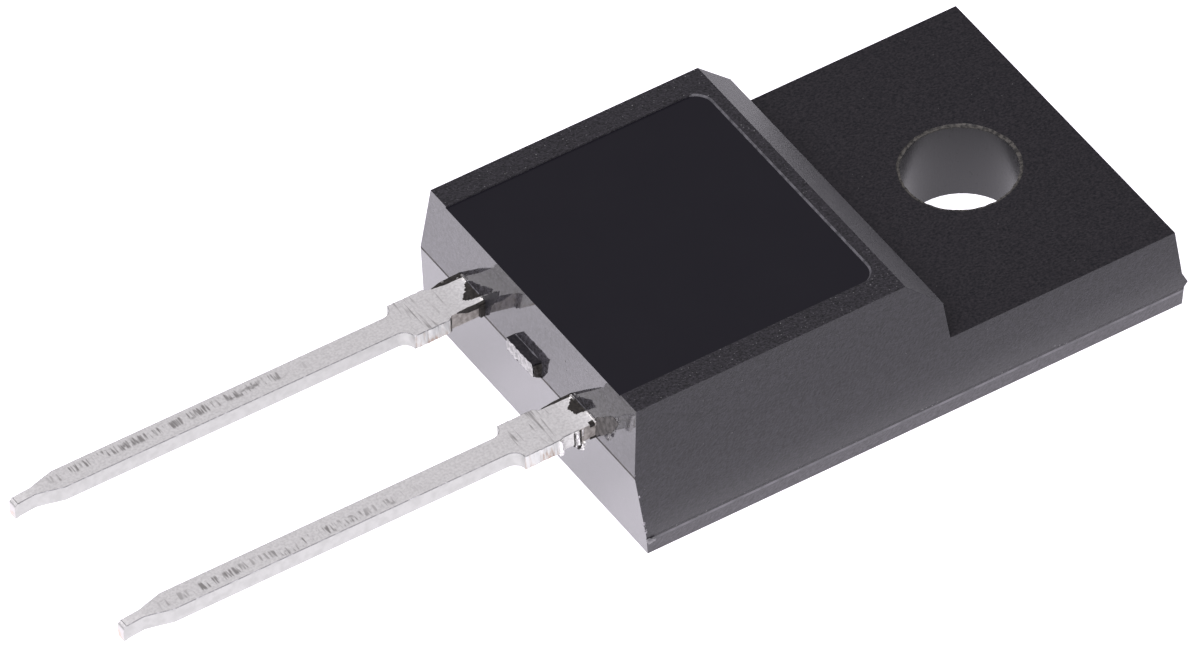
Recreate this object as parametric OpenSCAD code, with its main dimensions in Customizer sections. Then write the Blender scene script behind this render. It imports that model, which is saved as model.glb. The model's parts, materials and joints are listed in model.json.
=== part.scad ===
// Power diode in a fully moulded package with two leads and one screw hole.
// Millimetres. The origin is the centre of the screw hole on the back face. X runs along
// the package, with the leads towards -X, Y runs across it, and Z rises from the back face
// to the marked face.

/* [Case] */
// Length of the moulding at its parting line
case_l = 15.88; // [15.4:0.02:17]
// Width of the moulding at its parting line
case_w = 10.26; // [9.9:0.02:11]
// Thickness of the moulding from the back face to the marked face
case_t = 4.5; // [4.4:0.05:4.9]
// Length of the thick part, from the lead end to the foot of the step
thick_l = 9.15; // [8.9:0.05:9.6]
// Thickness of the tab
tab_t = 2.35; // [2.2:0.05:2.9]
// Chamfer along the top of the step
step_chamfer = 1; // [0.6:0.05:1.2]
// Height of the parting line on the long sides and on the tab's end
parting_z = 0.62; // [0.4:0.02:1]

/* [Mould draft] */
// Draft of the long sides above the parting line, in degrees
side_draft = 6.1; // [3:0.1:7]
// Draft of the lead end above the leads, in degrees
lead_end_draft = 7.2; // [3:0.1:9]
// Draft of the step's wall, in degrees
step_draft = 5.6; // [2:0.1:8]
// Draft of the tab's end, and of every wall below the parting line, in degrees
base_draft = 4.2; // [2:0.1:6]

/* [Screw hole] */
// Diameter of the screw hole
hole_d = 3.05; // [3:0.05:3.3]
// Distance from the hole's centre to the tab's end
hole_inset = 3.24; // [3:0.02:3.6]

/* [Marking panel] */
// Depth of the smooth panel that is left for a marking
panel_depth = 0.05; // [0.03:0.01:0.1]
// Border between the panel and each long edge of the marked face
panel_border = 0.71; // [0.5:0.01:1]
// Border between the panel and the step's chamfer
panel_end_border = 0.36; // [0.2:0.02:0.8]
// Radius of the panel's two corners
panel_r = 0.5; // [0.3:0.05:0.8]

/* [Centre slot stub] */
// Width of the moulding's stub where a third lead would leave the case
stub_w = 1.2; // [0.8:0.05:1.6]
// How far the stub stands out of the lead end
stub_l = 0.2; // [0.1:0.02:0.4]
// Height of the stub's broken end face
stub_end_h = 0.25; // [0.1:0.01:0.4]

/* [Leads] */
// Distance between the two leads
lead_pitch = 5.08; // [5:0.02:5.3]
// Thickness of the lead strip
lead_t = 0.45; // [0.4:0.01:0.6]
// Height of the leads' lower face above the back face
lead_z = 2.55; // [2.5:0.01:2.8]
// Width of a lead beyond its shoulder
lead_w = 0.68; // [0.6:0.02:0.9]
// Length of a lead from the case to its tip
lead_l = 13.18; // [10:0.1:16]
// Width of a lead at the case
root_w = 1.08; // [0.95:0.01:1.2]
// Width of a lead where its dam bar was cut away
dambar_w = 1.3; // [1.25:0.01:1.6]
// Length of the stretch where the dam bar was cut away
dambar_l = 1.03; // [0.8:0.01:1.2]
// Distance from the case to the lead's shoulder
shoulder_l = 2.04; // [1.9:0.02:2.4]
// Length of the taper towards the tip
taper_l = 0.72; // [0.5:0.02:1.2]
// Length of the narrow end beyond the taper
nose_l = 0.6; // [0.3:0.02:0.9]
// Width of the narrow end
nose_w = 0.28; // [0.2:0.02:0.5]

/* [Header] */
// Thickness of the copper header inside the case
header_t = 1.1; // [0.8:0.05:1.2]
// Thickness of the moulding between the header and the back face
back_cover = 0.65; // [0.5:0.05:0.8]
// Thickness of the moulding beside the header, at the parting line
side_cover = 0.9; // [0.7:0.05:1.3]
// Distance from the lead end of the case to the header
header_inset = 2.05; // [1.9:0.05:2.5]
// Wall of moulding between the screw hole and the header
hole_cover = 0.85; // [0.7:0.05:1.1]
// How far the header's two arms reach past the hole's centre
arm_reach = 1; // [0.4:0.1:1.6]
// Width of the neck between the cathode lead and the header
neck_w = 2.4; // [1.6:0.1:2.8]
// Slope of the neck, in degrees
neck_slope = 50; // [45:1:60]

/* [Chip and wires] */
// Length of the silicon chip along the case
die_l = 3.6; // [2.5:0.1:4]
// Width of the silicon chip
die_w = 3.2; // [2.6:0.1:4]
// Thickness of the silicon chip
die_t = 0.28; // [0.2:0.02:0.4]
// Thickness of the solder under the chip
solder_t = 0.06; // [0.04:0.01:0.1]
// How far the solder spreads beyond the chip's edge
solder_rim = 0.12; // [0.05:0.01:0.3]
// Distance from the header's lead end to the chip
die_inset = 1.4; // [1:0.1:1.8]
// Width of the anode lead's bonding pad
pad_w = 3; // [2.6:0.1:3.2]
// Distance from the lead end of the case to the bonding pad
pad_inset = 0.55; // [0.4:0.05:0.7]
// Gap along the case between the bonding pad and the header
pad_gap = 0.3; // [0.2:0.05:0.5]
// Diameter of a bond wire
wire_d = 0.38; // [0.25:0.01:0.4]
// Rise of a bond wire above the straight line between its two feet
wire_rise = 1; // [0.6:0.05:1.1]
// Distance between the wires' feet
wire_pitch = 0.85; // [0.75:0.05:0.95]
// Distance from the chip's edge to the wires' feet on it
wire_inset = 0.9; // [0.6:0.05:1.2]
// Length of a wire's pressed foot
foot_l = 0.7; // [0.5:0.05:0.8]
// Width of a wire's pressed foot
foot_w = 0.54; // [0.45:0.01:0.6]

/* [Hidden] */
$fn = 96;

// Length by which a cutting shape passes the surface that it cuts
cut = 1;

epoxy_colour = [0.15, 0.15, 0.17];
tin_colour = [0.8, 0.8, 0.79];
solder_colour = [0.62, 0.63, 0.66];
silicon_colour = [0.3, 0.33, 0.42];
aluminium_colour = [0.88, 0.89, 0.9];

// Places along the case
tab_end = hole_inset;
lead_end = tab_end - case_l;
step_foot = lead_end + thick_l;
step_top = step_foot - tan(step_draft) * (case_t - step_chamfer - tab_t) - step_chamfer;

// Half the width of the marked face
top_half_w = case_w / 2 - tan(side_draft) * (case_t - parting_z);

lead_top = lead_z + lead_t;
shoulder_x = lead_end - shoulder_l;
tip_x = lead_end - lead_l;

header_x = lead_end + header_inset;
header_w = case_w - 2 * side_cover;
header_top = back_cover + header_t;

die_x = header_x + die_inset;
die_z = header_top + solder_t;
die_top = die_z + die_t;

pad_x = lead_end + pad_inset;
pad_l = header_inset - pad_inset - pad_gap;

// An outline that is the same on both sides of the X axis, from its half
function both_sides(half) =
    concat(half, [for (i = [len(half) - 1 : -1 : 0]) [half[i].x, -half[i].y]]);

// Side view of the case: back face, parted lead end, marked face, step and tab
module case_side_view() {
    polygon([
        [lead_end + tan(base_draft) * lead_z, 0],
        [lead_end, lead_z],
        [lead_end + tan(lead_end_draft) * (case_t - lead_z), case_t],
        [step_top, case_t],
        [step_top + step_chamfer, case_t - step_chamfer],
        [step_foot, tab_t],
        [tab_end - tan(base_draft) * (tab_t - parting_z), tab_t],
        [tab_end, parting_z],
        [tab_end - tan(base_draft) * parting_z, 0]
    ]);
}

// End view of the case: the long sides lean in above and below the parting line
module case_end_view() {
    base_half_w = case_w / 2 - tan(base_draft) * parting_z;
    polygon([
        [-base_half_w, 0],
        [-case_w / 2, parting_z],
        [-top_half_w, case_t],
        [top_half_w, case_t],
        [case_w / 2, parting_z],
        [base_half_w, 0]
    ]);
}

// The solid that the two halves of the mould close around
module case_block() {
    intersection() {
        rotate([90, 0, 0])
            linear_extrude(height = case_w + 2 * cut, center = true)
                case_side_view();
        translate([lead_end - cut, 0, 0])
            rotate([90, 0, 90])
                linear_extrude(height = case_l + 2 * cut)
                    case_end_view();
    }
}

// Plan of the marking panel, open at the lead end and rounded towards the step
module panel_plan() {
    panel_w = 2 * (top_half_w - panel_border);
    panel_end = step_top - panel_end_border;
    start = lead_end - cut;
    translate([start, -panel_w / 2])
        square([panel_end - panel_r - start, panel_w]);
    translate([start, panel_r - panel_w / 2])
        square([panel_end - start, panel_w - 2 * panel_r]);
    for (side = [-1, 1])
        translate([panel_end - panel_r, side * (panel_w / 2 - panel_r)])
            circle(r = panel_r);
}

// Moulding that filled the blanked slot of a third lead, broken off just outside the case
module centre_stub() {
    rotate([90, 0, 0])
        linear_extrude(height = stub_w, center = true)
            polygon([
                [lead_end - stub_l, lead_top],
                [lead_end - stub_l, lead_top - stub_end_h],
                [lead_end, lead_z],
                [lead_end + cut, lead_z],
                [lead_end + cut, lead_top]
            ]);
}

// The epoxy moulding: its outside, less everything that it was moulded around
module moulded_body() {
    color(epoxy_colour)
        difference() {
            union() {
                case_block();
                centre_stub();
            }
            translate([0, 0, case_t - panel_depth])
                linear_extrude(height = panel_depth + cut)
                    panel_plan();
            translate([0, 0, -cut])
                cylinder(d = hole_d, h = tab_t + 2 * cut);
            cathode_leadframe();
            anode_lead();
            die_solder();
            schottky_die();
            for (n = [1 : 3])
                bond_wire(n);
        }
}

// Plan of a lead from inside the case to its tip: root, dam bar stub, blade, taper, nose
module lead_plan(inner_x) {
    fillet_r = (dambar_w - lead_w) / 2;
    root_step = (dambar_w - root_w) / 2;
    polygon(both_sides([
        [inner_x, root_w / 2],
        [shoulder_x + dambar_l + root_step, root_w / 2],
        [shoulder_x + dambar_l, dambar_w / 2],
        [shoulder_x, dambar_w / 2],
        [shoulder_x, lead_w / 2],
        [tip_x + nose_l + taper_l, lead_w / 2],
        [tip_x + nose_l, nose_w / 2],
        [tip_x, nose_w / 2]
    ]));
    difference() {
        translate([shoulder_x - fillet_r, -dambar_w / 2])
            square([fillet_r, dambar_w]);
        for (side = [-1, 1])
            translate([shoulder_x - fillet_r, side * dambar_w / 2])
                circle(r = fillet_r);
    }
}

// A lead cut from the strip, on one side of the case
module lead(side, inner_x) {
    translate([0, side * lead_pitch / 2, lead_z])
        linear_extrude(height = lead_t)
            lead_plan(inner_x);
}

// The copper plate that carries the chip, with two arms that pass the screw hole
module header() {
    difference() {
        translate([header_x, -header_w / 2, back_cover])
            cube([arm_reach - header_x, header_w, header_t]);
        translate([0, 0, back_cover - cut])
            cylinder(r = hole_d / 2 + hole_cover, h = header_t + 2 * cut);
    }
}

// The sloping neck that takes the strip from the lead's level down to the header's top,
// at the strip's own thickness all the way
module neck() {
    drop = lead_top - header_top;
    slope_end = header_x;
    slope_start = slope_end - drop / tan(neck_slope);
    under = lead_t * tan(neck_slope / 2);
    translate([0, lead_pitch / 2, 0])
        rotate([90, 0, 0])
            linear_extrude(height = neck_w, center = true)
                polygon([
                    [slope_start - lead_t, lead_top],
                    [slope_start, lead_top],
                    [slope_end, header_top],
                    [slope_end + lead_t, header_top],
                    [slope_end + lead_t, header_top - lead_t],
                    [slope_end - under, header_top - lead_t],
                    [slope_start - under, lead_z],
                    [slope_start - lead_t, lead_z]
                ]);
}

// Cathode lead, neck and header, stamped and joggled as one piece
module cathode_leadframe() {
    drop = lead_top - header_top;
    color(tin_colour)
        union() {
            lead(1, header_x - drop / tan(neck_slope) - lead_t / 2);
            neck();
            header();
        }
}

// Anode lead with the wide pad that the bond wires land on
module anode_lead() {
    color(tin_colour)
        union() {
            lead(-1, pad_x + pad_l / 2);
            translate([pad_x, -lead_pitch / 2 - pad_w / 2, lead_z])
                cube([pad_l, pad_w, lead_t]);
        }
}

// Solder between the header and the chip
module die_solder() {
    color(solder_colour)
        translate([die_x - solder_rim, -die_w / 2 - solder_rim, header_top])
            cube([die_l + 2 * solder_rim, die_w + 2 * solder_rim, solder_t]);
}

// The silicon chip
module schottky_die() {
    color(silicon_colour)
        translate([die_x, -die_w / 2, die_z])
            cube([die_l, die_w, die_t]);
}

// The foot where a wire was pressed onto a surface at z = 0, along X
module wire_foot() {
    intersection() {
        rotate([0, 90, 0])
            cylinder(d = foot_w, h = foot_l, center = true);
        translate([-foot_l, -foot_w, 0])
            cube([2 * foot_l, 2 * foot_w, foot_w]);
    }
}

// A wire's arc from a foot at the origin to a foot that is run away along X and climb up,
// cut off level with the two surfaces that it is bonded to
module wire_arc(run, climb) {
    chord = norm([run, climb]);
    tilt = atan2(climb, run);
    bend_r = (chord * chord / 4 + wire_rise * wire_rise) / (2 * wire_rise);
    half_sweep = asin(chord / 2 / bend_r);
    sink = bend_r - wire_rise;
    difference() {
        translate([run / 2 + sin(tilt) * sink, 0, climb / 2 - cos(tilt) * sink])
            rotate([90, 0, 0])
                rotate([0, 0, 90 + tilt - half_sweep])
                    rotate_extrude(angle = 2 * half_sweep)
                        translate([bend_r, 0])
                            circle(d = wire_d);
        translate([-run / 2, -foot_w, -2 * wire_d])
            cube([run, 2 * foot_w, 2 * wire_d]);
        translate([run / 2, -foot_w, climb - 2 * wire_d])
            cube([run, 2 * foot_w, 2 * wire_d]);
    }
}

// Bond wire n, counted across the chip, from the chip's top to the anode lead's pad
module bond_wire(n) {
    start = [die_x + wire_inset, (n - 2) * wire_pitch, die_top];
    finish = [pad_x + pad_l / 2, (n - 2) * wire_pitch - lead_pitch / 2, lead_top];
    way = finish - start;
    run = norm([way.x, way.y]);
    color(aluminium_colour)
        translate(start)
            rotate([0, 0, atan2(way.y, way.x)])
                union() {
                    wire_foot();
                    wire_arc(run, way.z);
                    translate([run, 0, way.z])
                        wire_foot();
                }
}

moulded_body();
cathode_leadframe();
anode_lead();
die_solder();
schottky_die();
bond_wire(1);  // bond_wire_1
bond_wire(2);  // bond_wire_2
bond_wire(3);  // bond_wire_3
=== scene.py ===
import json
import math
from itertools import product

import bmesh
import bpy
from mathutils import Matrix, Vector, noise


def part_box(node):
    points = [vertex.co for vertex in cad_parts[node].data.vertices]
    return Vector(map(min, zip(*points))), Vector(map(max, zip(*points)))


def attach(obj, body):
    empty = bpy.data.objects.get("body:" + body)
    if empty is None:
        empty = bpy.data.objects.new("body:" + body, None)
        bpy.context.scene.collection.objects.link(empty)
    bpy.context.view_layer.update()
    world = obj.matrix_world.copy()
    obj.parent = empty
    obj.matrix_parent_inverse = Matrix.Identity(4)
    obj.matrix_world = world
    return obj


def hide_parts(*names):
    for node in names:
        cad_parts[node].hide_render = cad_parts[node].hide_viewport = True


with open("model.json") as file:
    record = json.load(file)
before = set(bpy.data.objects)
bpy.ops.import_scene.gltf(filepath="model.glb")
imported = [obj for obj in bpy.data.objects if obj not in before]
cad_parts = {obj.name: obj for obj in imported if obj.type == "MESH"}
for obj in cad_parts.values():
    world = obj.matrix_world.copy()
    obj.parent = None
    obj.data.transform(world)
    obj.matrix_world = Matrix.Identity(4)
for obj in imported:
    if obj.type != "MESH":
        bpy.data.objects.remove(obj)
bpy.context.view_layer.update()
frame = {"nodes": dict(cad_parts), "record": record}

# Camera
# A long lens above the lead end, on the near side of the case. The angles, the distance and
# the lens come from the edges of the package in the photograph.
MM = 0.001
azimuth = math.radians(-30.634)
elevation = math.radians(43.999)
roll = math.radians(-2.461)
distance = 476.2 * MM
looked_at = Vector((-10.14, 0.63, 2.0)) * MM

back = Vector((
    math.sin(azimuth) * math.cos(elevation),
    -math.cos(azimuth) * math.cos(elevation),
    math.sin(elevation),
))
right = Vector((math.cos(azimuth), math.sin(azimuth), 0))
axes = Matrix((right, back.cross(right), back)).transposed()
camera_data = bpy.data.cameras.new("long_lens")
camera_data.lens = 581.73
camera_data.sensor_width = 36
camera = bpy.data.objects.new("camera", camera_data)
camera.matrix_world = (
    Matrix.Translation(looked_at + back * distance)
    @ axes.to_4x4()
    @ Matrix.Rotation(roll, 4, "Z")
)
bpy.context.collection.objects.link(camera)
bpy.context.scene.camera = camera
bpy.context.scene.view_settings.view_transform = "Standard"

# Light table and soft light
# The part lies on a pale sheet that is lit from below until it is white, with one large soft
# box overhead and a dim room around it.
table_half = 900 * MM
table_drop = 0.01 * MM
table_glow = 1.15


def new_object(name, mesh):
    """An object in the scene for a finished bmesh in metres."""
    data = bpy.data.meshes.new(name)
    mesh.to_mesh(data)
    mesh.free()
    made = bpy.data.objects.new(name, data)
    bpy.context.collection.objects.link(made)
    return made


def new_material(name, colour, roughness, metallic=0.0, ior=1.5):
    """A material, its node tree and its shader, with the shader's plain values set."""
    material = bpy.data.materials.new(name)
    material.use_nodes = True
    tree = material.node_tree
    shader = tree.nodes["Principled BSDF"]
    shader.inputs["Base Color"].default_value = (*colour, 1)
    shader.inputs["Roughness"].default_value = roughness
    shader.inputs["Metallic"].default_value = metallic
    shader.inputs["IOR"].default_value = ior
    return material, tree, shader


table_material, _, table_shader = new_material("pale_sheet", (0.35, 0.34, 0.36), 0.6)
table_shader.inputs["Emission Color"].default_value = (1.0, 0.965, 1.04, 1)
table_shader.inputs["Emission Strength"].default_value = table_glow
table_mesh = bmesh.new()
bmesh.ops.create_grid(table_mesh, x_segments=1, y_segments=1, size=table_half)
bmesh.ops.translate(table_mesh, vec=(0, 0, -table_drop), verts=table_mesh.verts)
table = new_object("light_table", table_mesh)
table.data.materials.append(table_material)

room = bpy.data.worlds.new("room")
room.use_nodes = True
room.node_tree.nodes["Background"].inputs["Color"].default_value = (0.97, 0.94, 1.0, 1)
room.node_tree.nodes["Background"].inputs["Strength"].default_value = 0.25
bpy.context.scene.world = room

soft_box_data = bpy.data.lights.new("soft_box", "AREA")
soft_box_data.size = 0.5
soft_box_data.energy = 5.5
soft_box_data.color = (0.98, 0.95, 1.0)
soft_box = bpy.data.objects.new("soft_box", soft_box_data)
soft_box.location = (-0.2, -0.16, 0.5)
soft_box.rotation_mode = "QUATERNION"
soft_box.rotation_quaternion = soft_box.location.to_track_quat("Z", "Y")
bpy.context.collection.objects.link(soft_box)

# Moulded case
# Black epoxy mould compound round the leadframe, moulded in one shot. The mould is spark
# eroded, so the case is matt, but its lead end and its marking panel are polished.
case_low, case_high = (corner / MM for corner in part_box("moulded_body"))
lead_low, lead_high = (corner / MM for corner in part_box("anode_lead"))
mounts = {mount["name"]: mount for mount in frame["record"]["mounts"]}
hole_r = mounts["screw_hole"]["dims"]["r_mm"]
tab_t = mounts["screw_hole"]["dims"]["length_mm"]
case_t = case_high.z
half_w = case_high.y
tab_end = case_high.x
stub_l = 0.2
stub_half_w = 0.6
stub_hang = 0.14
lead_end = case_low.x + stub_l
parting_z = 0.62
panel_depth = 0.05
thick_l = 9.15
step_chamfer = 1.0
side_draft = math.radians(6.1)
lead_end_draft = math.radians(7.2)
step_draft = math.radians(5.6)
base_draft = math.radians(4.2)
step_foot = lead_end + thick_l

# The least angle of a sharp edge, the distance within which places count as the same, and the
# least dot product of two directions that count as the same
SHARP_FROM = math.radians(25)
SAME_PLACE = 0.01
SAME_WAY = 0.9998


def node_copy(node):
    """A bmesh of a CAD node in millimetres, its triangles joined into whole faces."""
    mesh = bmesh.new()
    mesh.from_mesh(frame["nodes"][node].data)
    bmesh.ops.scale(mesh, vec=(1 / MM,) * 3, verts=mesh.verts)
    bmesh.ops.remove_doubles(mesh, verts=mesh.verts, dist=0.002)
    bmesh.ops.dissolve_limit(
        mesh, angle_limit=math.radians(0.3), verts=mesh.verts, edges=mesh.edges
    )
    mesh.normal_update()
    return mesh


def finish(name, mesh, slot, *materials):
    """The finished piece of a bmesh in millimetres, riding on the part."""
    bmesh.ops.scale(mesh, vec=(MM,) * 3, verts=mesh.verts)
    for face in mesh.faces:
        face.smooth = True
    weights = mesh.edges.layers.float.get("bevel_weight_edge")
    for edge in mesh.edges:
        rounded = weights is not None and edge[weights] > 0
        if not rounded and edge.is_manifold and edge.calc_face_angle() > SHARP_FROM:
            edge.smooth = False
    piece = new_object(name, mesh)
    if "custom_normal" in piece.data.attributes:
        piece.data.attributes.remove(piece.data.attributes["custom_normal"])
    for material in materials:
        piece.data.materials.append(material)
    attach(piece, "root")
    return piece


def slice_along(mesh, faces, places, normal):
    """Cuts faces with planes across a direction, at each of the places along it."""
    for place in places:
        live = [face for face in faces if face.is_valid]
        edges = {edge for face in live for edge in face.edges}
        verts = {vert for face in live for vert in face.verts}
        cut = bmesh.ops.bisect_plane(
            mesh, geom=[*live, *edges, *verts], plane_co=Vector(normal) * place, plane_no=normal
        )
        faces = [item for item in cut["geom"] if isinstance(item, bmesh.types.BMFace)]
    return faces


def swell(place, height, pace):
    """A smooth random shift of up to height, with pace swells to a millimetre."""
    return height * noise.noise(place * pace)


def wobble(place, height, pace):
    """A swell along each axis, each at its own pace, so that no two of them move together."""
    paces = [pace * ratio for ratio in (1, 31 / 27, 29 / 27)]
    return Vector([swell(place, height, own_pace) for own_pace in paces])


def steps(start, stop, count):
    """Evenly spaced places strictly between start and stop."""
    return [start + (stop - start) * n / (count + 1) for n in range(1, count + 1)]


def slanted(towards, lean):
    """A wall's outward normal: horizontal towards, leaning up by an angle."""
    return Vector((*(math.cos(lean) * Vector(towards)), math.sin(lean)))


case_planes = {
    "base": ((0, 0, 0), Vector((0, 0, -1))),
    "border": ((0, 0, case_t), Vector((0, 0, 1))),
    "panel": ((0, 0, case_t - panel_depth), Vector((0, 0, 1))),
    "tab_top": ((0, 0, tab_t), Vector((0, 0, 1))),
    "lead_end_low": ((lead_end, 0, lead_low.z), slanted((-1, 0), -base_draft)),
    "lead_end_high": ((lead_end, 0, lead_low.z), slanted((-1, 0), lead_end_draft)),
    "step_wall": ((step_foot, 0, tab_t), slanted((1, 0), step_draft)),
    "tab_end_low": ((tab_end, 0, parting_z), slanted((1, 0), -base_draft)),
    "tab_end_high": ((tab_end, 0, parting_z), slanted((1, 0), base_draft)),
    "side_near_low": ((0, -half_w, parting_z), slanted((0, -1), -base_draft)),
    "side_near_high": ((0, -half_w, parting_z), slanted((0, -1), side_draft)),
    "side_far_low": ((0, half_w, parting_z), slanted((0, 1), -base_draft)),
    "side_far_high": ((0, half_w, parting_z), slanted((0, 1), side_draft)),
}
step_top_z = case_t - step_chamfer
step_top_x = step_foot - math.tan(step_draft) * (step_top_z - tab_t)
case_planes["chamfer"] = ((step_top_x, 0, step_top_z), slanted((1, 0), math.radians(45)))


def region(face):
    """The name of the part of the case that a face belongs to."""
    centre = face.calc_center_median()
    for name, (point, normal) in case_planes.items():
        near = abs((centre - Vector(point)).dot(normal)) < SAME_PLACE
        if near and face.normal.dot(normal) > SAME_WAY:
            return name
    if abs(centre.xy.length - hole_r) < 2 * SAME_PLACE:
        return "hole"
    if case_t - panel_depth < centre.z < case_t:
        return "panel_lip" if face.normal.x < -0.3 else "panel_wall"
    if centre.x < lead_end - SAME_PLACE:
        return "stub_break" if face.normal.x < -0.9 else "stub"
    return "inside"


def kind_between(edge, kinds):
    """The kinds of the two faces at an edge, in the order that the tables below use."""
    found = (face[kinds].decode() for face in edge.link_faces)
    return tuple(sorted("side" if kind.startswith("side") else kind for kind in found))


# Width and finish of the narrow worn flat between two kinds of face
flats = {
    # The panel lip's worn flat catches the soft box, and its lighter colour adds a painted
    # highlight.
    ("border", "panel_lip"): (0.09, "lip_wear_and_highlight"),
    ("hole", "tab_top"): (0.1, "worn_rim"),
}

# Level bands along the mould's parting: kinds of face, lowest and highest place, finish
bands = [
    (("lead_end_low",), lead_low.z - 0.055, lead_low.z, "dark_seam"),
    (("lead_end_high",), lead_low.z, lead_low.z + 0.025, "dark_seam"),
    # A pale band below the parting: a painted highlight standing in for the light caught by the
    # parting edge.
    (("side_near_low", "side_far_low"), 0.42, 0.5, "parting_highlight_band"),
    (("side_near_low", "side_far_low"), 0.51, 0.6, "border"),
    (("side_near_low", "side_far_low"), 0.6, parting_z, "sides"),
]

# Radius of the rounded edge between two kinds of face
rounding = {
    ("lead_end_high", "side"): 0.07,
    ("lead_end_low", "side"): 0.07,
    ("side", "tab_end_high"): 0.14,
    ("side", "tab_end_low"): 0.14,
    ("side", "step_wall"): 0.2,
    ("chamfer", "side"): 0.2,
    ("border", "lead_end_high"): 0.04,
    ("border", "side"): 0.04,
    ("border", "chamfer"): 0.06,
    ("chamfer", "step_wall"): 0.22,
    ("step_wall", "tab_top"): 0.12,
    ("side", "tab_top"): 0.05,
    ("tab_end_high", "tab_top"): 0.06,
    ("base", "side"): 0.03,
    ("base", "lead_end_low"): 0.05,
    ("base", "tab_end_low"): 0.05,
    ("base", "hole"): 0.05,
}
widest = max(rounding.values())


def add_node(tree, kind, **values):
    """A node with its named inputs set."""
    node = tree.nodes.new("ShaderNode" + kind)
    for name, value in values.items():
        node.inputs[name.replace("_", " ")].default_value = value
    return node


def object_place(tree):
    """The point on the piece that is being shaded."""
    place = tree.nodes.get("Texture Coordinate") or tree.nodes.new("ShaderNodeTexCoord")
    return place.outputs["Object"]


def noise_at(tree, size, detail=2.0, roughness=0.5, stretch=(1, 1, 1), turn=(0, 0, 0)):
    """Noise with spots about size millimetres across, drawn out along its turned axes."""
    mapping = add_node(tree, "Mapping", Scale=stretch, Rotation=turn)
    mapping.vector_type = "TEXTURE"
    spots = add_node(
        tree, "TexNoise", Scale=1 / (size * MM), Detail=detail, Roughness=roughness
    )
    tree.links.new(object_place(tree), mapping.inputs["Vector"])
    tree.links.new(mapping.outputs["Vector"], spots.inputs["Vector"])
    return spots.outputs["Fac"]


def ramp(tree, source, *stops):
    """A colour ramp over a source, from pairs of place and grey or colour."""
    node = tree.nodes.new("ShaderNodeValToRGB")
    tree.links.new(source, node.inputs["Fac"])
    while len(node.color_ramp.elements) < len(stops):
        node.color_ramp.elements.new(0.5)
    for element, (place, colour) in zip(node.color_ramp.elements, stops):
        element.position = place
        element.color = (*colour, 1) if hasattr(colour, "__len__") else (colour,) * 3 + (1,)
    return node.outputs["Color"]


def paint(tree, shader, source, *stops):
    """Colours the shader by a ramp over a source."""
    tree.links.new(ramp(tree, source, *stops), shader.inputs["Base Color"])


def fade(tree, source, start, stop):
    """0 where a source is at start, rising to 1 where it reaches stop."""
    node = add_node(tree, "MapRange", From_Min=start, From_Max=stop)
    tree.links.new(source, node.inputs["Value"])
    return node.outputs["Result"]


def combine(tree, operation, *sources):
    """A Math node over sources, each an output of a node or a plain number."""
    node = tree.nodes.new("ShaderNodeMath")
    node.operation = operation
    for socket, source in zip(node.inputs, sources):
        if isinstance(source, (int, float)):
            socket.default_value = source
        else:
            tree.links.new(source, socket)
    return node.outputs["Value"]


def multiply(tree, first, *others):
    """The product of all the sources."""
    for other in others:
        first = combine(tree, "MULTIPLY", first, other)
    return first


def bump(tree, shader, height, depth, below=None):
    """Raises the shader's surface by a height, depth millimetres deep, over another bump."""
    node = add_node(tree, "Bump", Strength=1.0, Distance=depth * MM)
    tree.links.new(height, node.inputs["Height"])
    if below is not None:
        tree.links.new(below, node.inputs["Normal"])
    tree.links.new(node.outputs["Normal"], shader.inputs["Normal"])
    return node.outputs["Normal"]


def along(tree, axis):
    """The place along one axis, in millimetres."""
    split = tree.nodes.new("ShaderNodeSeparateXYZ")
    tree.links.new(object_place(tree), split.inputs["Vector"])
    return multiply(tree, split.outputs[axis], 1 / MM)


def eroded_epoxy(name, dark, light, ior=1.5, pits=0.01, specks_from=0.82, speck=0.09, painted_sheen=()):
    """Spark-eroded epoxy: a fine slanting grain, pits, and specks of the silica filler.

    Where a sheen is given, its colours are added from the parting line up to the case's top:
    painted shading, lighter towards the parting line and darker towards the top.
    """
    material, tree, shader = new_material(name, light, 0.53, ior=ior)
    grain = noise_at(
        tree, 0.055, detail=3.0, roughness=0.6, stretch=(2, 1, 1), turn=(0, math.radians(-40), 0)
    )
    specks = fade(tree, noise_at(tree, 0.05, detail=0.0), specks_from, specks_from + 0.08)
    level = combine(tree, "MAXIMUM", multiply(tree, grain, 0.6), specks)
    tone = ramp(tree, level, (0.2, dark), (0.4, light), (0.6, light), (1.0, speck))
    # Painted shading: the face is made lighter towards the parting line.
    if painted_sheen:
        sheen = ramp(tree, fade(tree, along(tree, "Z"), parting_z, case_t), *painted_sheen)
        added = tree.nodes.new("ShaderNodeVectorMath")
        tree.links.new(tone, added.inputs[0])
        tree.links.new(sheen, added.inputs[1])
        tone = added.outputs["Vector"]
    tree.links.new(tone, shader.inputs["Base Color"])
    coarse = bump(tree, shader, noise_at(tree, 0.055), pits)
    bump(tree, shader, noise_at(tree, 0.3), 0.008, below=coarse)
    return material


def polished_epoxy(name, dark, light, ior):
    """The mirror-like lead end, with a faint grain and a few small pits."""
    material, tree, shader = new_material(name, light, 0.06, ior=ior)
    paint(tree, shader, noise_at(tree, 0.09, detail=3.0), (0.35, dark), (0.65, light))
    haze = ramp(tree, noise_at(tree, 0.5, detail=4.0), (0.3, 0.04), (0.75, 0.1))
    tree.links.new(haze, shader.inputs["Roughness"])
    waves = bump(tree, shader, noise_at(tree, 0.8), 0.001)
    pits = fade(tree, noise_at(tree, 0.12, detail=0.0), 0.16, 0.12)
    bump(tree, shader, pits, -0.02, below=waves)
    return material


def panel_epoxy():
    """The smooth dark panel that is left for a marking."""
    material, tree, shader = new_material("panel_epoxy", (0.0046, 0.004, 0.007), 0.3, ior=1.48)
    haze = ramp(tree, noise_at(tree, 1.5, detail=3.0), (0.3, 0.28), (0.7, 0.32))
    tree.links.new(haze, shader.inputs["Roughness"])
    return material


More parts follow.
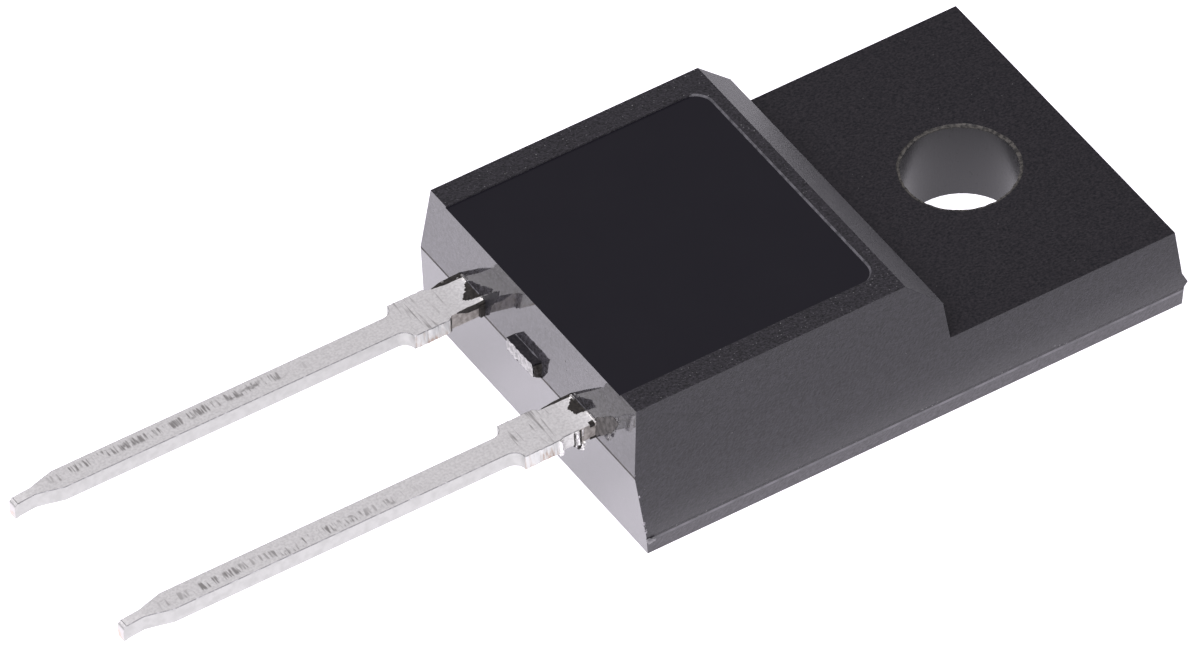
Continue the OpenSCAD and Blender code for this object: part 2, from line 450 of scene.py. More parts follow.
def hole_epoxy():
    """The hole's wall, drawn smooth along Z by the core pin."""
    material, tree, shader = new_material("hole_epoxy", (0.01, 0.0095, 0.011), 0.33, ior=1.5)
    pits = fade(tree, noise_at(tree, 0.09, detail=0.0), 0.24, 0.2)
    paint(tree, shader, pits, (0.0, (0.0105, 0.01, 0.012)), (1.0, 0.001))
    bump(tree, shader, noise_at(tree, 0.12, stretch=(1, 1, 12)), 0.0015)
    return material


def rough_chipped_epoxy(name, dark, light, size):
    """Rough epoxy with pale and dark chips: torn, rubbed and broken epoxy, and the pale bands that
    paint highlights.
    """
    material, tree, shader = new_material(name, light, 0.7)
    chips = noise_at(tree, size, detail=4.0)
    paint(tree, shader, chips, (0.38, dark), (0.6, light))
    bump(tree, shader, chips, 0.02)
    return material


finishes = {
    # The sides' added colours are painted shading, lighter towards the parting line.
    "sides": eroded_epoxy(
        "eroded_sides", (0.0, 0.0, 0.001), (0.016, 0.015, 0.02), pits=0.014,
        painted_sheen=((0.0, 0.027), (0.1, 0.015), (0.2, 0.006), (0.5, 0.002), (0.85, 0.0)),
    ),
    "low_sides": eroded_epoxy(
        "eroded_low_sides", (0.014, 0.013, 0.016), (0.053, 0.05, 0.058), ior=1.7
    ),
    "tab_top": eroded_epoxy(
        "eroded_tab_top", (0.001, 0.001, 0.003), (0.016, 0.014, 0.0165), ior=1.42
    ),
    "border": eroded_epoxy(
        "eroded_border", (0.001, 0.001, 0.002), (0.021, 0.019, 0.024), pits=0.02,
        specks_from=0.74, speck=0.13,
    ),
    "chamfer": eroded_epoxy(
        "eroded_chamfer", (0.013, 0.013, 0.016), (0.036, 0.035, 0.041), ior=1.75
    ),
    "lead_end_low": polished_epoxy(
        "polished_lead_end_low", (0.004, 0.004, 0.004), (0.034, 0.032, 0.04), ior=2.6
    ),
    "lead_end_high": polished_epoxy(
        "polished_lead_end_high", (0.022, 0.021, 0.023), (0.06, 0.058, 0.066), ior=1.92
    ),
    "panel": panel_epoxy(),
    "hole": hole_epoxy(),
    "broken": rough_chipped_epoxy("broken_epoxy", (0.28, 0.28, 0.28), (0.5, 0.49, 0.49), 0.09),
    # Lighter than the border: wear, with a painted highlight on the panel's lip.
    "lip_wear_and_highlight": rough_chipped_epoxy("lip_wear_and_highlight_epoxy", (0.028, 0.028, 0.032), (0.085, 0.083, 0.092), 0.2),
    # Pale, for the painted highlight along the parting.
    "parting_highlight_band": rough_chipped_epoxy("parting_highlight_epoxy", (0.09, 0.09, 0.095), (0.145, 0.142, 0.152), 0.4),
    "worn_rim": rough_chipped_epoxy("worn_rim_epoxy", (0.008, 0.0075, 0.007), (0.056, 0.052, 0.046), 0.09),
    "dark_seam": rough_chipped_epoxy("dark_seam_epoxy", (0.02, 0.018, 0.016), (0.06, 0.055, 0.05), 0.2),
}
finish_names = list(finishes)
finish_of = {
    "side_near_low": "low_sides",
    "side_far_low": "low_sides",
    "tab_end_low": "low_sides",
    "tab_top": "tab_top",
    "border": "border",
    "chamfer": "chamfer",
    "step_wall": "chamfer",
    "lead_end_low": "lead_end_low",
    "lead_end_high": "lead_end_high",
    "panel": "panel",
    "panel_lip": "lip_wear_and_highlight",
    "panel_wall": "low_sides",
    "hole": "hole",
    "stub": "tab_top",
    "stub_break": "broken",
}

# The stub was torn off, so the lower edge of its end hangs down
case_mesh = node_copy("moulded_body")
for vert in case_mesh.verts:
    if vert.co.x < case_low.x + stub_l / 4 and vert.co.z < lead_high.z - 0.1:
        vert.co.z -= stub_hang
case_mesh.normal_update()
kinds = case_mesh.faces.layers.string.new("kind")
for face in case_mesh.faces:
    name = region(face)
    face[kinds] = name.encode()
    face.material_index = finish_names.index(finish_of.get(name, "sides"))

for pair, (width, finish_name) in flats.items():
    between = [
        edge for edge in case_mesh.edges
        if len(edge.link_faces) == 2 and kind_between(edge, kinds) == pair
    ]
    made = bmesh.ops.bevel(
        case_mesh, geom=between, offset=width / 2, segments=1, profile=0.5,
        affect="EDGES", material=-1,
    )
    for face in made["faces"]:
        face[kinds] = b"flat"
        face.material_index = finish_names.index(finish_name)

for band_kinds, low, high, finish_name in bands:
    banded = [face for face in case_mesh.faces if face[kinds].decode() in band_kinds]
    for face in slice_along(case_mesh, banded, (low, high), (0, 0, 1)):
        if low < face.calc_center_median().z < high:
            face.material_index = finish_names.index(finish_name)

# The broken end of the stub is rough, and most of all along its lower edge
torn = [face for face in case_mesh.faces if face[kinds] == b"stub_break"]
torn = slice_along(case_mesh, torn, steps(-stub_half_w, stub_half_w, 26), (0, 1, 0))
torn = slice_along(case_mesh, torn, steps(lead_low.z, lead_high.z, 3), (0, 0, 1))
for vert in {vert for face in torn for vert in face.verts}:
    share = 1 if vert.co.z < lead_high.z - 0.3 else 0.25
    vert.co.x += swell(vert.co, 0.03, 11)
    vert.co.z += swell(vert.co, 0.07 * share, 8)

# The worn flat round the top of the hole is wider in some places than in others
rim_inside = hole_r + 0.02
rim_outside = hole_r + 0.2
for vert in case_mesh.verts:
    if rim_inside < vert.co.xy.length < rim_outside and vert.co.z > tab_t - SAME_PLACE:
        vert.co.xy *= 1 + swell(vert.co, 0.03, 5)

weights = case_mesh.edges.layers.float.new("bevel_weight_edge")
for edge in case_mesh.edges:
    if len(edge.link_faces) == 2:
        edge[weights] = rounding.get(kind_between(edge, kinds), 0) / widest
case_mesh.faces.layers.string.remove(kinds)
case = finish("epoxy_case", case_mesh, "epoxy", *finishes.values())
rounded_edges = case.modifiers.new("rounded_edges", "BEVEL")
rounded_edges.limit_method = "WEIGHT"
rounded_edges.width = widest * MM
rounded_edges.segments = 4
rounded_edges.harden_normals = True
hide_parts("moulded_body")

# Corner crumbs
# Thin flash tore along the near corner of the lead end when the part left the mould. A row of
# small pale chips is left on the corner, with a larger nodule where the mould halves met.


def block(low, high):
    """The eight corners of a block between two opposite ones."""
    return list(product(*zip(low, high)))


def crumbs(name, hulls, slot, material, ragged, grain):
    """Torn crumbs: the hull of each list of corners, cut up and roughened.

    Their surface wanders by up to ragged, in lumps about grain across.
    """
    mesh = bmesh.new()
    for corners in hulls:
        bmesh.ops.convex_hull(mesh, input=[mesh.verts.new(corner) for corner in corners])
    bmesh.ops.subdivide_edges(mesh, edges=mesh.edges[:], cuts=3, use_grid_fill=True)
    for vert in mesh.verts:
        vert.co += wobble(vert.co, ragged, 1 / grain)
    bmesh.ops.recalc_face_normals(mesh, faces=mesh.faces)
    return finish(name, mesh, slot, material)


def near_corner(z):
    """The point of the lead end's near corner at a height."""
    return Vector((
        lead_end + math.tan(base_draft) * (lead_low.z - z),
        -half_w + math.tan(side_draft) * (z - parting_z),
        z,
    ))


# Height and size of each chip
corner_chips = [
    (2.58, 0.035), (1.92, 0.04), (1.8, 0.03), (1.62, 0.03), (1.36, 0.04), (1.05, 0.06),
    (0.93, 0.03), (0.82, 0.05),
]
chipped = rough_chipped_epoxy("chipped_epoxy", (0.03, 0.03, 0.032), (0.32, 0.31, 0.33), 0.08)
chip_inset = Vector((0.02, 0.01, 0))
chip_hulls = []
for z, size in corner_chips:
    middle = near_corner(z) + chip_inset
    reach = Vector((size / 2.5, size / 2.5, size))
    chip_hulls.append(block(middle - reach, middle + reach))
crumbs("corner_crumbs", chip_hulls, "epoxy", chipped, ragged=0.03, grain=0.07)
nodule_z = 0.47
nodule_middle = near_corner(nodule_z) + Vector((0.12, 0.01, 0))
nodule_reach = Vector((0.11, 0.045, 0.06))
nodule_hull = block(nodule_middle - nodule_reach, nodule_middle + nodule_reach)
nodule_finish = rough_chipped_epoxy("nodule_epoxy", (0.1, 0.1, 0.105), (0.22, 0.217, 0.225), 0.1)
crumbs("parting_nodule", [nodule_hull], "epoxy", nodule_finish, ragged=0.04, grain=0.09)

# Hole lip
# A thin lip of flash that the core pin left round the top of the screw hole. It is one ring
# spun round the hole, and its inner edge wanders in and out a little.
lip_steps = 120
lip_wander = 0.025
lip_profile = [
    (hole_r + 0.04, tab_t - 0.025), (hole_r - 0.04, tab_t - 0.035), (hole_r - 0.035, tab_t - 0.07),
    (hole_r + 0.04, tab_t - 0.12),
]
lip_mesh = bmesh.new()
lip_ring = [lip_mesh.verts.new((r, 0, z)) for r, z in lip_profile]
lip_sides = [lip_mesh.edges.new((lip_ring[n - 1], vert)) for n, vert in enumerate(lip_ring)]
bmesh.ops.spin(
    lip_mesh, geom=[*lip_ring, *lip_sides], cent=(0, 0, 0), axis=(0, 0, 1), angle=math.tau,
    steps=lip_steps, use_merge=True,
)
for vert in lip_mesh.verts:
    if vert.co.xy.length < hole_r:
        spoke = Vector((*vert.co.xy.normalized(), 0))
        vert.co += spoke * swell(spoke, lip_wander, 9)
bmesh.ops.recalc_face_normals(lip_mesh, faces=lip_mesh.faces)
finish("hole_lip", lip_mesh, "epoxy", finishes["worn_rim"])

# Leads
# Copper strip 0.45 mm thick, stamped, plated with matt tin and trimmed from its frame. The
# press leaves fine marks across the flats, and the sheared sides show some bare copper.
lead_pitch = 5.08
root_w = 1.08
dambar_w = 1.3
dambar_l = 1.03
shoulder_l = 2.04
taper_l = 0.72
nose_l = 0.6
nose_droop = 0.08
lead_bottom = lead_low.z
lead_top = lead_high.z
tip_x = lead_low.x
shoulder_x = lead_end - shoulder_l
root_x = shoulder_x + dambar_l
outer_x = lead_end - 0.1
hidden_x = lead_end + 0.5
tip_round = 0.13
edge_round = 0.035
tin = (0.83, 0.825, 0.81)

# Where the press marks lie: how far off the middle the ticks on a blade are, and between which
# places along X each kind of mark fades in and out
ticks_y = 2.62
ticks_start = (-25.1, -24.3)
ticks_end = (-16.6, -18.4)
lines_start = (-15.2, -14.7)
lines_end = (-13.0, -13.5)
clean_from = (-13.3, -12.6)


def blade_ticks(tree, x):
    """A wandering band of short dark ticks and smears along each blade."""
    off_middle = combine(tree, "SUBTRACT", combine(tree, "ABSOLUTE", along(tree, "Y")), ticks_y)
    wander = multiply(tree, noise_at(tree, 1.6, stretch=(1, 3, 1)), 0.4)
    off_band = combine(tree, "ADD", off_middle, combine(tree, "SUBTRACT", wander, 0.2))
    band = fade(tree, combine(tree, "ABSOLUTE", off_band), 0.2, 0.1)
    worn = fade(tree, noise_at(tree, 1.1, stretch=(1, 3, 1)), 0.24, 0.44)
    ticks = fade(tree, noise_at(tree, 0.07, detail=1.0, stretch=(1, 8, 1)), 0.44, 0.64)
    smears = fade(tree, noise_at(tree, 0.28, detail=3.0, stretch=(1.6, 1, 1)), 0.56, 0.72)
    return multiply(
        tree, combine(tree, "MAXIMUM", ticks, smears), band, worn,
        fade(tree, x, *ticks_start), fade(tree, x, *ticks_end),
    )


def press_lines(tree, x):
    """Fine lines straight across the wide part of a lead, missing in patches."""
    lines = fade(tree, noise_at(tree, 0.065, detail=1.0, stretch=(1, 13, 13)), 0.5, 0.7)
    patchy = fade(tree, noise_at(tree, 0.5, stretch=(1, 1.5, 1)), 0.3, 0.6)
    return multiply(
        tree, lines, patchy, fade(tree, x, *lines_start), fade(tree, x, *lines_end), 0.85
    )


def pressed_tin():
    """Matt tin on the flats, with the press's marks; it is clean and bright by the case."""
    material, tree, shader = new_material("pressed_tin", tin, 0.62, metallic=1.0)
    x = along(tree, "X")
    marks = combine(tree, "MAXIMUM", blade_ticks(tree, x), press_lines(tree, x))
    grain = noise_at(tree, 0.07, detail=4.0)
    mottled = multiply(tree, fade(tree, grain, 0.38, 0.68), 0.22)
    clean = multiply(tree, fade(tree, x, *clean_from), 0.2)
    plain = combine(tree, "SUBTRACT", combine(tree, "ADD", mottled, 0.2), clean)
    shade = combine(tree, "MAXIMUM", marks, plain)
    paint(
        tree, shader, shade, (0.0, (0.98, 0.975, 0.96)), (0.2, tin), (1.0, (0.36, 0.35, 0.34))
    )
    rough = bump(tree, shader, grain, 0.002)
    bump(tree, shader, shade, -0.003, below=rough)
    return material


def shaded_side_tin():
    """Satin tin on the sheared sides, painted darker than the flats' tin: painted shade that holds
    back their bright reflection of the table.
    """
    material, tree, shader = new_material("shaded_side_tin", (0.48, 0.482, 0.46), 0.5, metallic=1.0)
    blotches = noise_at(tree, 0.2, detail=3.0)
    paint(tree, shader, blotches, (0.35, (0.455, 0.46, 0.44)), (0.6, (0.505, 0.51, 0.49)))
    bump(tree, shader, noise_at(tree, 0.1), 0.002)
    return material


def torn_copper():
    """The sheared dam bar: bright tin smeared down over tan copper, bare at its lower edge."""
    material, tree, shader = new_material("torn_copper", (0.6, 0.57, 0.54), 0.5, metallic=1.0)
    streaks = noise_at(tree, 0.09, detail=3.0, stretch=(1, 1, 6))
    height = fade(tree, along(tree, "Z"), lead_bottom, lead_bottom + 0.3)
    cover = combine(tree, "ADD", streaks, multiply(tree, height, 0.16))
    paint(
        tree, shader, cover, (0.43, (0.43, 0.345, 0.285)), (0.53, (0.57, 0.555, 0.52)),
        (0.63, (0.63, 0.64, 0.62)),
    )
    bump(tree, shader, streaks, 0.012)
    return material


def stained_tin():
    """The root's sides, which the mould's flash has left brown-grey and dull."""
    material, tree, shader = new_material("stained_tin", (0.42, 0.395, 0.37), 0.6, metallic=0.8)
    stains = noise_at(tree, 0.12, detail=3.0)
    paint(tree, shader, stains, (0.35, (0.3, 0.28, 0.26)), (0.65, (0.5, 0.475, 0.445)))
    bump(tree, shader, stains, 0.01)
    return material


def smeared_tin():
    """Soft pale tin, smeared over the root's side where the dam bar was cut away."""
    material, tree, shader = new_material("smeared_tin", (0.9, 0.9, 0.88), 0.7, metallic=0.2)
    smears = noise_at(tree, 0.12, detail=3.0)
    paint(tree, shader, smears, (0.3, (0.62, 0.62, 0.6)), (0.6, (0.8, 0.8, 0.78)))
    bump(tree, shader, smears, 0.006)
    return material


def painted_edge_shade_tin():
    """Painted shade along the strip's softened upper edges: a dark line standing in for the dark
    room's reflection in the rounded edge, broken here and there.
    """
    material, tree, shader = new_material("painted_edge_shade_tin", (0.3, 0.29, 0.29), 0.6, metallic=1.0)
    upper = fade(tree, along(tree, "Z"), lead_top - 0.25, lead_top - 0.2)
    nicks = fade(tree, noise_at(tree, 0.2, detail=3.0), 0.26, 0.5)
    line = multiply(tree, upper, nicks)
    paint(tree, shader, line, (0.0, 0.62), (0.6, 0.42), (1.0, 0.3))
    bump(tree, shader, nicks, 0.004)
    return material


def trimmed_tin():
    """The cut end: bright tin, with bare copper along its lower edge."""
    material, tree, shader = new_material("trimmed_tin", (0.6, 0.59, 0.57), 0.5, metallic=1.0)
    height = combine(tree, "ADD", along(tree, "Z"), noise_at(tree, 0.2))
    plated = fade(tree, height, lead_bottom + 0.39, lead_bottom + 0.57)
    paint(tree, shader, plated, (0.0, (0.62, 0.53, 0.46)), (1.0, (0.62, 0.61, 0.6)))
    bump(tree, shader, noise_at(tree, 0.05, stretch=(1, 1, 5)), 0.002)
    return material


def burnished_tin():
    """The curls that trimming drew out: thin, bright and finely wrinkled."""
    material, tree, shader = new_material("burnished_tin", (0.95, 0.945, 0.93), 0.4, metallic=1.0)
    wrinkles = noise_at(tree, 0.05, detail=2.0)
    paint(tree, shader, wrinkles, (0.3, (0.6, 0.59, 0.57)), (0.6, (0.95, 0.945, 0.93)))
    bump(tree, shader, wrinkles, 0.006)
    return material


def flash_epoxy():
    """A thin smear of epoxy, rougher and browner than the case."""
    material, tree, shader = new_material("flash_epoxy", (0.012, 0.011, 0.01), 0.6, ior=1.4)
    smears = noise_at(tree, 0.06, detail=3.0)
    paint(tree, shader, smears, (0.3, (0.003, 0.0025, 0.002)), (0.7, (0.028, 0.025, 0.0215)))
    bump(tree, shader, smears, 0.01)
    return material


tin_finishes = {
    "flat": pressed_tin(),
    # The sheared sides' tin is painted darker: painted shade.
    "side": shaded_side_tin(),
    "dam_bar": torn_copper(),
    "root": stained_tin(),
    "smear": smeared_tin(),
    # The softened edges' finish is a painted dark line.
    "edge": painted_edge_shade_tin(),
    "end": trimmed_tin(),
}
tin_names = list(tin_finishes)
bright_tin = burnished_tin()
flash_finish = flash_epoxy()


def lead_region(face, middle, stained_x):
    """The name of the part of a lead that a face belongs to."""
    centre = face.calc_center_median()
    if abs(face.normal.z) > 0.5:
        return "flat"
    if centre.x < tip_x + SAME_PLACE:
        return "end"
    off_dam_bar = abs(abs(centre.y - middle) - dambar_w / 2)
    if shoulder_x < centre.x < root_x and off_dam_bar < SAME_PLACE:
        return "dam_bar"
    if centre.x > stained_x:
        return "root"
    return "smear" if centre.x > root_x else "side"


def outer_lead(name, node, side, stained_x, near_side=0.0):
    """A lead from a copy of its node: tip bent down, dam bar torn, edges softened.

    Flash has stained its sides from stained_x on; its root's near side stands out by near_side.
    """
    mesh = node_copy(node)
    middle = side * lead_pitch / 2
    for vert in mesh.verts:
        on_near_side = abs(vert.co.y - middle + root_w / 2) < SAME_PLACE
        if on_near_side and vert.co.x > root_x - SAME_PLACE:
            vert.co.y -= near_side
    outside = [face for face in mesh.faces if min(v.co.x for v in face.verts) < outer_x]
    bend_start = tip_x + nose_l + taper_l / 2
    slice_along(mesh, outside, [stained_x, *steps(bend_start, tip_x, 8)], (1, 0, 0))
    end_edges = [
        edge for edge in mesh.edges
        if all(v.co.x < tip_x + SAME_PLACE and v.co.z > lead_top - SAME_PLACE for v in edge.verts)
    ]
    bmesh.ops.bevel(
        mesh, geom=end_edges, offset=tip_round, segments=4, profile=0.5,
        affect="EDGES", material=-1,
    )
    for vert in mesh.verts:
        if vert.co.x < bend_start:
            vert.co.z -= nose_droop * ((bend_start - vert.co.x) / (bend_start - tip_x)) ** 2
    mesh.normal_update()
    for face in mesh.faces:
        face.material_index = tin_names.index(lead_region(face, middle, stained_x))
    torn = [face for face in mesh.faces if face.material_index == tin_names.index("dam_bar")]
    torn = slice_along(mesh, torn, steps(shoulder_x, root_x, 16), (1, 0, 0))
    torn = slice_along(mesh, torn, steps(lead_bottom, lead_top, 3), (0, 0, 1))
    for vert in {vert for face in torn for vert in face.verts}:
        if shoulder_x + SAME_PLACE < vert.co.x < root_x - SAME_PLACE:
            outward = math.copysign(1, vert.co.y - middle)
            vert.co.y += outward * swell(vert.co, 0.03, 9)
    weights = mesh.edges.layers.float.new("bevel_weight_edge")
    for edge in mesh.edges:
        first, last = sorted((vert.co for vert in edge.verts), key=lambda co: co.x)
        seen = edge.is_manifold and last.x < hidden_x
        level = abs(first.z - last.z) < 0.1
        clear_of_tip = first.x > tip_x + tip_round / 2
        if seen and level and clear_of_tip and edge.calc_face_angle() > math.radians(60):
            edge[weights] = 1
    piece = finish(name, mesh, "tin_plate", *tin_finishes.values())
    softening = piece.modifiers.new("softened_edges", "BEVEL")
    softening.limit_method = "WEIGHT"
    softening.width = edge_round * MM
    softening.segments = 2
    # The rounded edges' new faces take the painted dark line.
    softening.material = tin_names.index("edge")
    softening.harden_normals = True
    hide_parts(node)
    return piece


anode_stained_x = root_x + 0.55
outer_lead("cathode_lead_strip", "cathode_leadframe", 1, root_x)
outer_lead("anode_lead_strip", "anode_lead", -1, anode_stained_x, near_side=0.06)

# Root flash
# Epoxy that bled out of the mould along each lead: a torn film on the flat and dark wedges
# along its sides. Trimming the dam bar left curls and burrs of bright tin beside them. Two
# dark strips on the cathode's near side are painted shade.
film_t = 0.015
film_drift = 0.05
film_pace = 27
bead_out = 0.027
bead_up = 0.029
cathode_near_y = (lead_pitch - root_w) / 2
anode_near_y = -(lead_pitch + root_w) / 2


def ragged_film(name, outline, normal, material):
    """A thin torn film of epoxy on a flat face, from its outline there."""
    mesh = bmesh.new()
    film = mesh.faces.new([mesh.verts.new(point) for point in outline])
    bmesh.ops.subdivide_edges(mesh, edges=film.edges[:], cuts=7)
    for vert in mesh.verts:
        drift = wobble(vert.co, film_drift, film_pace)
        vert.co += drift - normal * drift.dot(normal)
    raised = bmesh.ops.extrude_face_region(mesh, geom=mesh.faces[:])["geom"]
    lifted = [item for item in raised if isinstance(item, bmesh.types.BMVert)]
    bmesh.ops.translate(mesh, vec=normal * film_t, verts=lifted)
    bmesh.ops.recalc_face_normals(mesh, faces=mesh.faces)
    return finish(name, mesh, "epoxy", material)


def on_flat(*places):
    """Points on the leads' upper flats."""
    return [Vector((x, y, lead_top)) for x, y in places]


def on_facet(*places):
    """Points on the lead end's upper facet."""
    slope = math.tan(lead_end_draft)
    return [Vector((lead_end + slope * (z - lead_low.z), y, z)) for y, z in places]


upward = Vector((0, 0, 1))
facet_normal = slanted((-1, 0), lead_end_draft)
ragged_film(
    "cathode_root_film",
    on_flat(
        (-12.4, 2.86), (-12.58, 2.84), (-12.68, 2.78), (-12.73, 2.68), (-12.83, 2.52),
        (-12.91, 2.46), (-13.02, 2.32), (-12.94, 2.22), (-12.8, 2.2), (-12.4, 2.17),
    ),
    upward, flash_finish,
)
ragged_film(
    "anode_root_film",
    on_flat(
        (-12.4, -2.1), (-12.7, -2.13), (-12.96, -2.38), (-12.9, -2.47), (-12.87, -2.64),
        (-12.76, -2.65), (-12.4, -2.7),
    ),
    upward, flash_finish,
)
ragged_film(
    "cathode_facet_film",
    on_facet(
        (2.03, 2.68), (2.1, 3.02), (1.77, 3.4), (1.42, 3.72), (1.5, 3.35), (1.72, 3.05),
        (1.93, 2.66),
    ),
    facet_normal, finishes["sides"],
)
ragged_film(
    "anode_facet_film",
    on_facet(
        (-3.1, 2.62), (-3.06, 3.05), (-3.44, 3.37), (-3.79, 3.65), (-4.03, 3.61), (-3.86, 3.22),
        (-3.4, 2.77), (-3.17, 2.6),
    ),
    facet_normal, rough_chipped_epoxy("stained_epoxy", (0.045, 0.042, 0.04), (0.1, 0.094, 0.09), 0.15),
)


def wedge(side, edge_side, reach, drop, proud, overlap):
    """The corners of a wedge along one side of a lead's root, thinning away from the case.

    Each section is a place along X from the lead end, and how full the wedge still is there.
    """
    edge_y = side * lead_pitch / 2 + edge_side * root_w / 2
    sections = ((0.06, 1), (-0.6 * reach, 0.8), (-reach, 0.1))
    corners = []
    for x, share in sections:
        inner_y = edge_y - edge_side * overlap * share
        outer_y = edge_y + edge_side * proud * share
        heights = (lead_top + 0.01, lead_top - drop * share)
        corners += product((lead_end + x,), (inner_y, outer_y), heights)
    return corners


def root_side_block(near_y, span_x, span_y, span_z):
    """The corners of a block on a root's side, its span along Y taken from the root's near side.
    Most are burrs; the two dark ones on the cathode are painted shade.
    """
    return list(product(span_x, [near_y + off for off in span_y], span_z))


crumbs(
    "cathode_root_flash_and_shade",
    [
        wedge(1, 1, reach=0.82, drop=0.3, proud=0.1, overlap=0.08),
        wedge(1, -1, reach=0.75, drop=0.14, proud=0.05, overlap=0.02),
        # Painted shade: a dark strip standing in for the shadow in the recess at the dam bar's
        # step.
        root_side_block(cathode_near_y, (-13.66, -13.58), (-0.06, 0.02), (2.55, 2.96)),
        # Painted shade: a dark strip standing in for the shadow where the lead's near side meets
        # the lead end.
        root_side_block(cathode_near_y, (-12.77, -12.59), (-0.08, 0.02), (2.57, 2.94)),
    ],
    "epoxy", flash_finish, ragged=0.015, grain=0.08,
)
crumbs(
    "anode_root_flash",
    [
        wedge(-1, 1, reach=0.82, drop=0.3, proud=0.055, overlap=0.03),
        root_side_block(anode_near_y, (-12.78, -12.64), (-0.07, 0.05), (2.91, 3.01)),
        root_side_block(anode_near_y, (-13.25, -13.21), (-0.065, 0.02), (2.5, 2.97)),
        root_side_block(anode_near_y, (-13.08, -13.03), (-0.065, 0.02), (2.5, 2.97)),
        root_side_block(anode_near_y, (-13.17, -13.09), (-0.11, -0.02), (2.41, 2.53)),
        root_side_block(anode_near_y, (-12.8, -12.6), (-0.07, 0.02), (2.51, 2.57)),
    ],
    "epoxy", flash_finish, ragged=0.015, grain=0.08,
)
crumbs(
    "cathode_root_curls",
    [
        block((-12.62, 2.84, 2.99), (-12.57, 3.07, 3.05)),
        block((-12.63, 2.07, 2.98), (-12.57, 2.15, 3.04)),
        block((-13.14, 3.1, 2.98), (-13.08, 3.15, 3.03)),
    ],
    "tin_plate", bright_tin, ragged=0.012, grain=0.07,
)
crumbs(
    "anode_root_curls",
    [
        block((-12.66, -2.2, 2.99), (-12.61, -2.03, 3.05)),
        block((-12.61, -3.02, 2.99), (-12.57, -2.74, 3.03)),
        root_side_block(anode_near_y, (-12.63, -12.58), (-0.07, 0), (2.88, 2.96)),
        root_side_block(anode_near_y, (-13.2, -13.1), (-0.1, 0.02), (2.47, 2.96)),
        root_side_block(anode_near_y, (-13.02, -12.97), (-0.08, 0.02), (2.75, 2.98)),
        root_side_block(anode_near_y, (-13.1, -13.0), (-0.14, -0.04), (2.35, 2.47)),
        root_side_block(anode_near_y, (-13.06, -12.96), (-0.13, 0), (2.42, 2.56)),
        root_side_block(anode_near_y, (-13.69, -13.58), (-0.13, 0), (2.48, 2.96)),
    ],
    "tin_plate", bright_tin, ragged=0.02, grain=0.07,
)


def bead(low_y, high_y, z):
    """The corners of a thin bead of epoxy along the foot of the lead end's upper facet."""
    face_x = lead_end + math.tan(lead_end_draft) * (z - lead_low.z)
    buried_x = face_x + 0.02
    buried_z = z - 0.01
    section = ((face_x - bead_out, buried_z), (buried_x, buried_z), (buried_x, z + bead_up))
    return [(x, y, height) for x, height in section for y in (low_y, high_y)]


crumbs(
    "root_beads",
    [
        bead(-0.5, 0.56, lead_top),
        bead(2.25, 2.84, lead_top + film_t),
        bead(-2.66, -2.14, lead_top + film_t),
    ],
    "epoxy", finishes["lip_wear_and_highlight"], ragged=0.02, grain=0.15,
)
crumbs(
    "stub_end_flash",
    [[
        (-12.82, -0.61, 2.97), (-12.57, -0.63, 2.97), (-12.82, -0.67, 2.66),
        (-12.6, -0.72, 2.54), (-12.8, -0.5, 2.64), (-12.6, -0.5, 2.54),
    ]],
    "epoxy", flash_finish, ragged=0.03, grain=0.1,
)

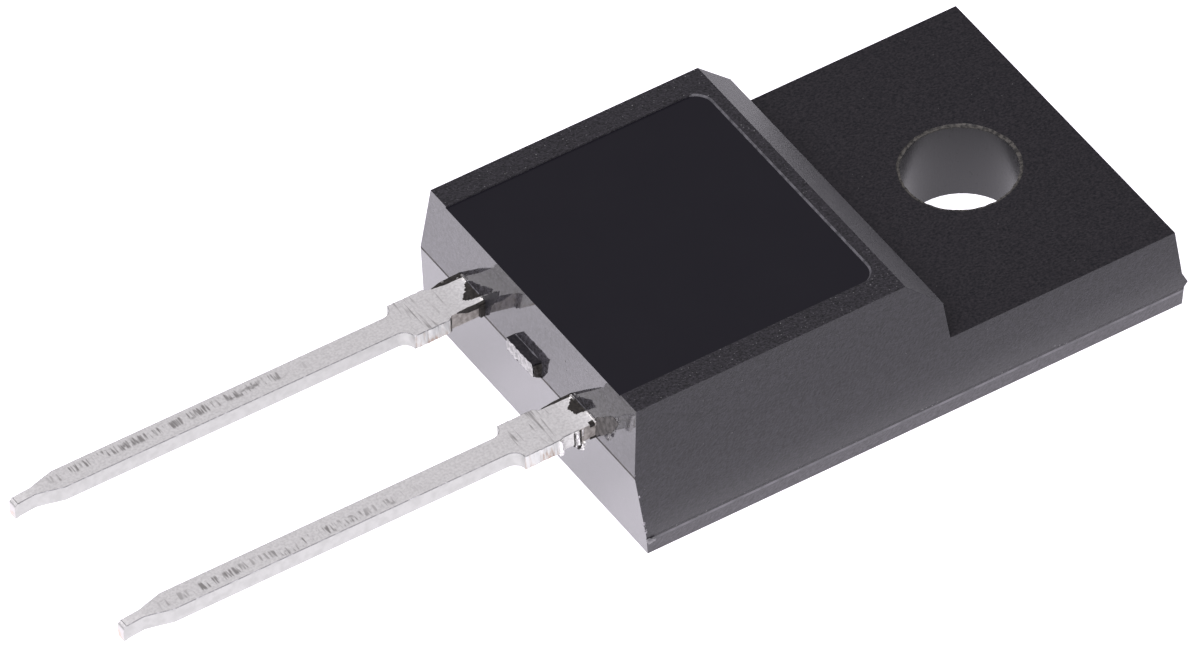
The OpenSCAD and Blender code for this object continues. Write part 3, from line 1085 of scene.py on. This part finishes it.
# Tab end ridge
# A low bead where the two halves of the mould met at the tab's end, with epoxy squeezed into
# the gap. It stands out most at its middle height and has a slightly uneven crest.
ridge_half_l = half_w - 0.05
ridge_proud = 0.136
crest_z = 0.66
buried_x = tab_end - 0.1
ridge_profile = [
    (buried_x, 1.05), (tab_end - 0.02, 1.0), (tab_end + ridge_proud, crest_z), (tab_end, 0.5),
    (buried_x, 0.5),
]
ridge_mesh = bmesh.new()
ridge_end = ridge_mesh.faces.new(
    [ridge_mesh.verts.new((x, -ridge_half_l, z)) for x, z in ridge_profile]
)
ridge_far = bmesh.ops.extrude_face_region(ridge_mesh, geom=[ridge_end], use_keep_orig=True)
bmesh.ops.translate(
    ridge_mesh, vec=(0, 2 * ridge_half_l, 0),
    verts=[item for item in ridge_far["geom"] if isinstance(item, bmesh.types.BMVert)],
)
slice_along(
    ridge_mesh, ridge_mesh.faces[:], steps(-ridge_half_l, ridge_half_l, 40), (0, 1, 0)
)
for vert in ridge_mesh.verts:
    if vert.co.x > tab_end + ridge_proud / 2:
        vert.co.x += swell(Vector((vert.co.y, 0, 0)), 0.025, 2)
bmesh.ops.recalc_face_normals(ridge_mesh, faces=ridge_mesh.faces)
finish("tab_end_ridge", ridge_mesh, "epoxy", finishes["sides"])

# Chip, solder and bond wires
# What the moulding hides: a polished silicon chip, soldered to the header, and three drawn
# aluminium wires pressed on to it and on to the anode lead's pad.


def dull_solder():
    """Lead-rich solder, dull and slightly grainy."""
    material, tree, shader = new_material("dull_solder", (0.45, 0.46, 0.49), 0.45, metallic=1.0)
    grains = noise_at(tree, 0.15, detail=4.0)
    paint(tree, shader, grains, (0.3, (0.36, 0.37, 0.4)), (0.7, (0.52, 0.53, 0.56)))
    bump(tree, shader, grains, 0.006)
    return material


def polished_silicon():
    """Blue-grey silicon, polished, with faint saw marks on its sides."""
    material, tree, shader = new_material("polished_silicon", (0.09, 0.1, 0.14), 0.15, ior=3.4)
    marks = noise_at(tree, 0.04, stretch=(10, 10, 1))
    paint(tree, shader, marks, (0.3, (0.07, 0.08, 0.115)), (0.7, (0.11, 0.12, 0.165)))
    bump(tree, shader, marks, 0.001)
    return material


def drawn_aluminium():
    """Bright aluminium wire with fine lines from the drawing die."""
    material, tree, shader = new_material("drawn_aluminium", (0.8, 0.8, 0.81), 0.28, metallic=1.0)
    lines = noise_at(tree, 0.03, stretch=(12, 1, 1))
    haze = ramp(tree, lines, (0.3, 0.22), (0.7, 0.36))
    tree.links.new(haze, shader.inputs["Roughness"])
    bump(tree, shader, lines, 0.001)
    return material


def dress(node, material):
    """Gives a CAD node its finish."""
    piece = frame["nodes"][node]
    if not piece.material_slots:
        piece.data.materials.append(None)
    piece.material_slots[0].material = material


wire_finish = drawn_aluminium()
dress("die_solder", dull_solder())
dress("schottky_die", polished_silicon())
for number in (1, 2, 3):
    dress(f"bond_wire_{number}", wire_finish)
